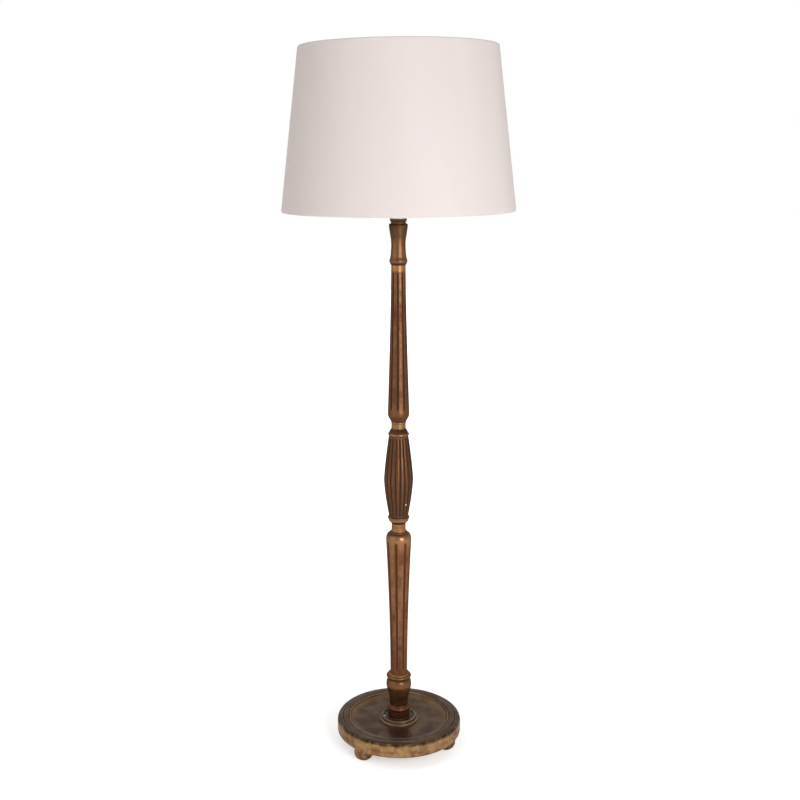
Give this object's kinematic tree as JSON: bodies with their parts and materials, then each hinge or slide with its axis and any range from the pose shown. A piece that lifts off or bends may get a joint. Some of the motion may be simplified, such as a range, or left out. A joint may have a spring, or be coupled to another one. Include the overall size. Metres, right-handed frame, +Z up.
{
  "type": "candlestick floor lamp",
  "caption": "Floor lamp with a turned, fluted and reeded wooden column, a dished round base on bun feet, a screw lampholder and a tapered drum shade.",
  "frame": {"origin": "on the floor, on the column's axis, under the middle of the shade", "axes": "+Z up along the column, -Y towards the front of the lamp, +X to the right"},
  "size_m": [0.4992, 0.4991, 1.5747],
  "materials": {
    "gilt_wood": "worn bronze-gold paint over brown wood, semi-gloss",
    "dark_gilt_wood": "darkened bronze-gold paint over brown wood, semi-gloss",
    "felt": "felt",
    "steel": "zinc plated",
    "iron": "bare casting",
    "black_plastic": "satin",
    "cream_plastic": "gloss",
    "tan_plastic": "gloss",
    "porcelain": "unglazed",
    "brass": "pressed, bare",
    "aluminium": "pressed, bare",
    "solder": "dull",
    "pearl_glass": "frosted",
    "clear_glass": "clear",
    "shade_fabric": "fine plain weave, off-white",
    "white_liner": "satin sheet",
    "white_wire": "white enamel on steel wire"
  },
  "bodies": {
    "stand": {"foot_front_left": "gilt_wood", "foot_right": "gilt_wood", "foot_back": "gilt_wood", "pad_front_left": "felt", "pad_right": "felt", "pad_back": "felt", "foot_screws": "steel", "base_disc": "dark_gilt_wood", "base_boss": "dark_gilt_wood", "weight_plate": "iron", "weight_screws": "steel", "cord_bush": "black_plastic", "threaded_tube": "steel", "bottom_washer": "steel", "bottom_nut": "steel", "top_nut": "steel", "lower_urn": "gilt_wood", "lower_shaft": "gilt_wood", "lower_neck": "gilt_wood", "reeded_belly": "gilt_wood", "upper_neck": "gilt_wood", "upper_shaft": "gilt_wood", "top_vase": "gilt_wood", "top_disc": "dark_gilt_wood", "holder_cap": "cream_plastic", "holder_insert": "porcelain", "holder_skirt": "cream_plastic", "screw_shell": "brass", "centre_contact": "brass", "terminal_screws": "brass"},
    "shade": {"shade_fabric": "shade_fabric", "shade_liner": "white_liner", "shade_top_wire": "white_wire", "shade_bottom_frame": "white_wire"},
    "clamp_ring": {"clamp_ring": "cream_plastic"},
    "bulb": {"bulb_cap": "aluminium", "bulb_insulator": "black_plastic", "bulb_tip": "solder", "bulb_glass": "pearl_glass", "bulb_stem": "clear_glass", "bulb_filament": "steel"},
    "switch_bar": {"switch_bar": "tan_plastic"}
  },
  "joints": [
    {"name": "shade_turn", "type": "hinge", "parent": "stand", "child": "shade", "pos_m": [0, 0, 1.256], "axis": [0, 0, 1], "continuous": true},
    {"name": "clamp_ring_unscrew", "type": "slide", "parent": "stand", "child": "clamp_ring", "axis": [0, 0, 1], "range_m": [0, 0.026]},
    {"name": "bulb_unscrew", "type": "slide", "parent": "stand", "child": "bulb", "axis": [0, 0, 1], "range_m": [0, 0.32]},
    {"name": "switch_push", "type": "slide", "parent": "stand", "child": "switch_bar", "axis": [1, 0, 0], "range_m": [0, 0.006]}
  ]
}
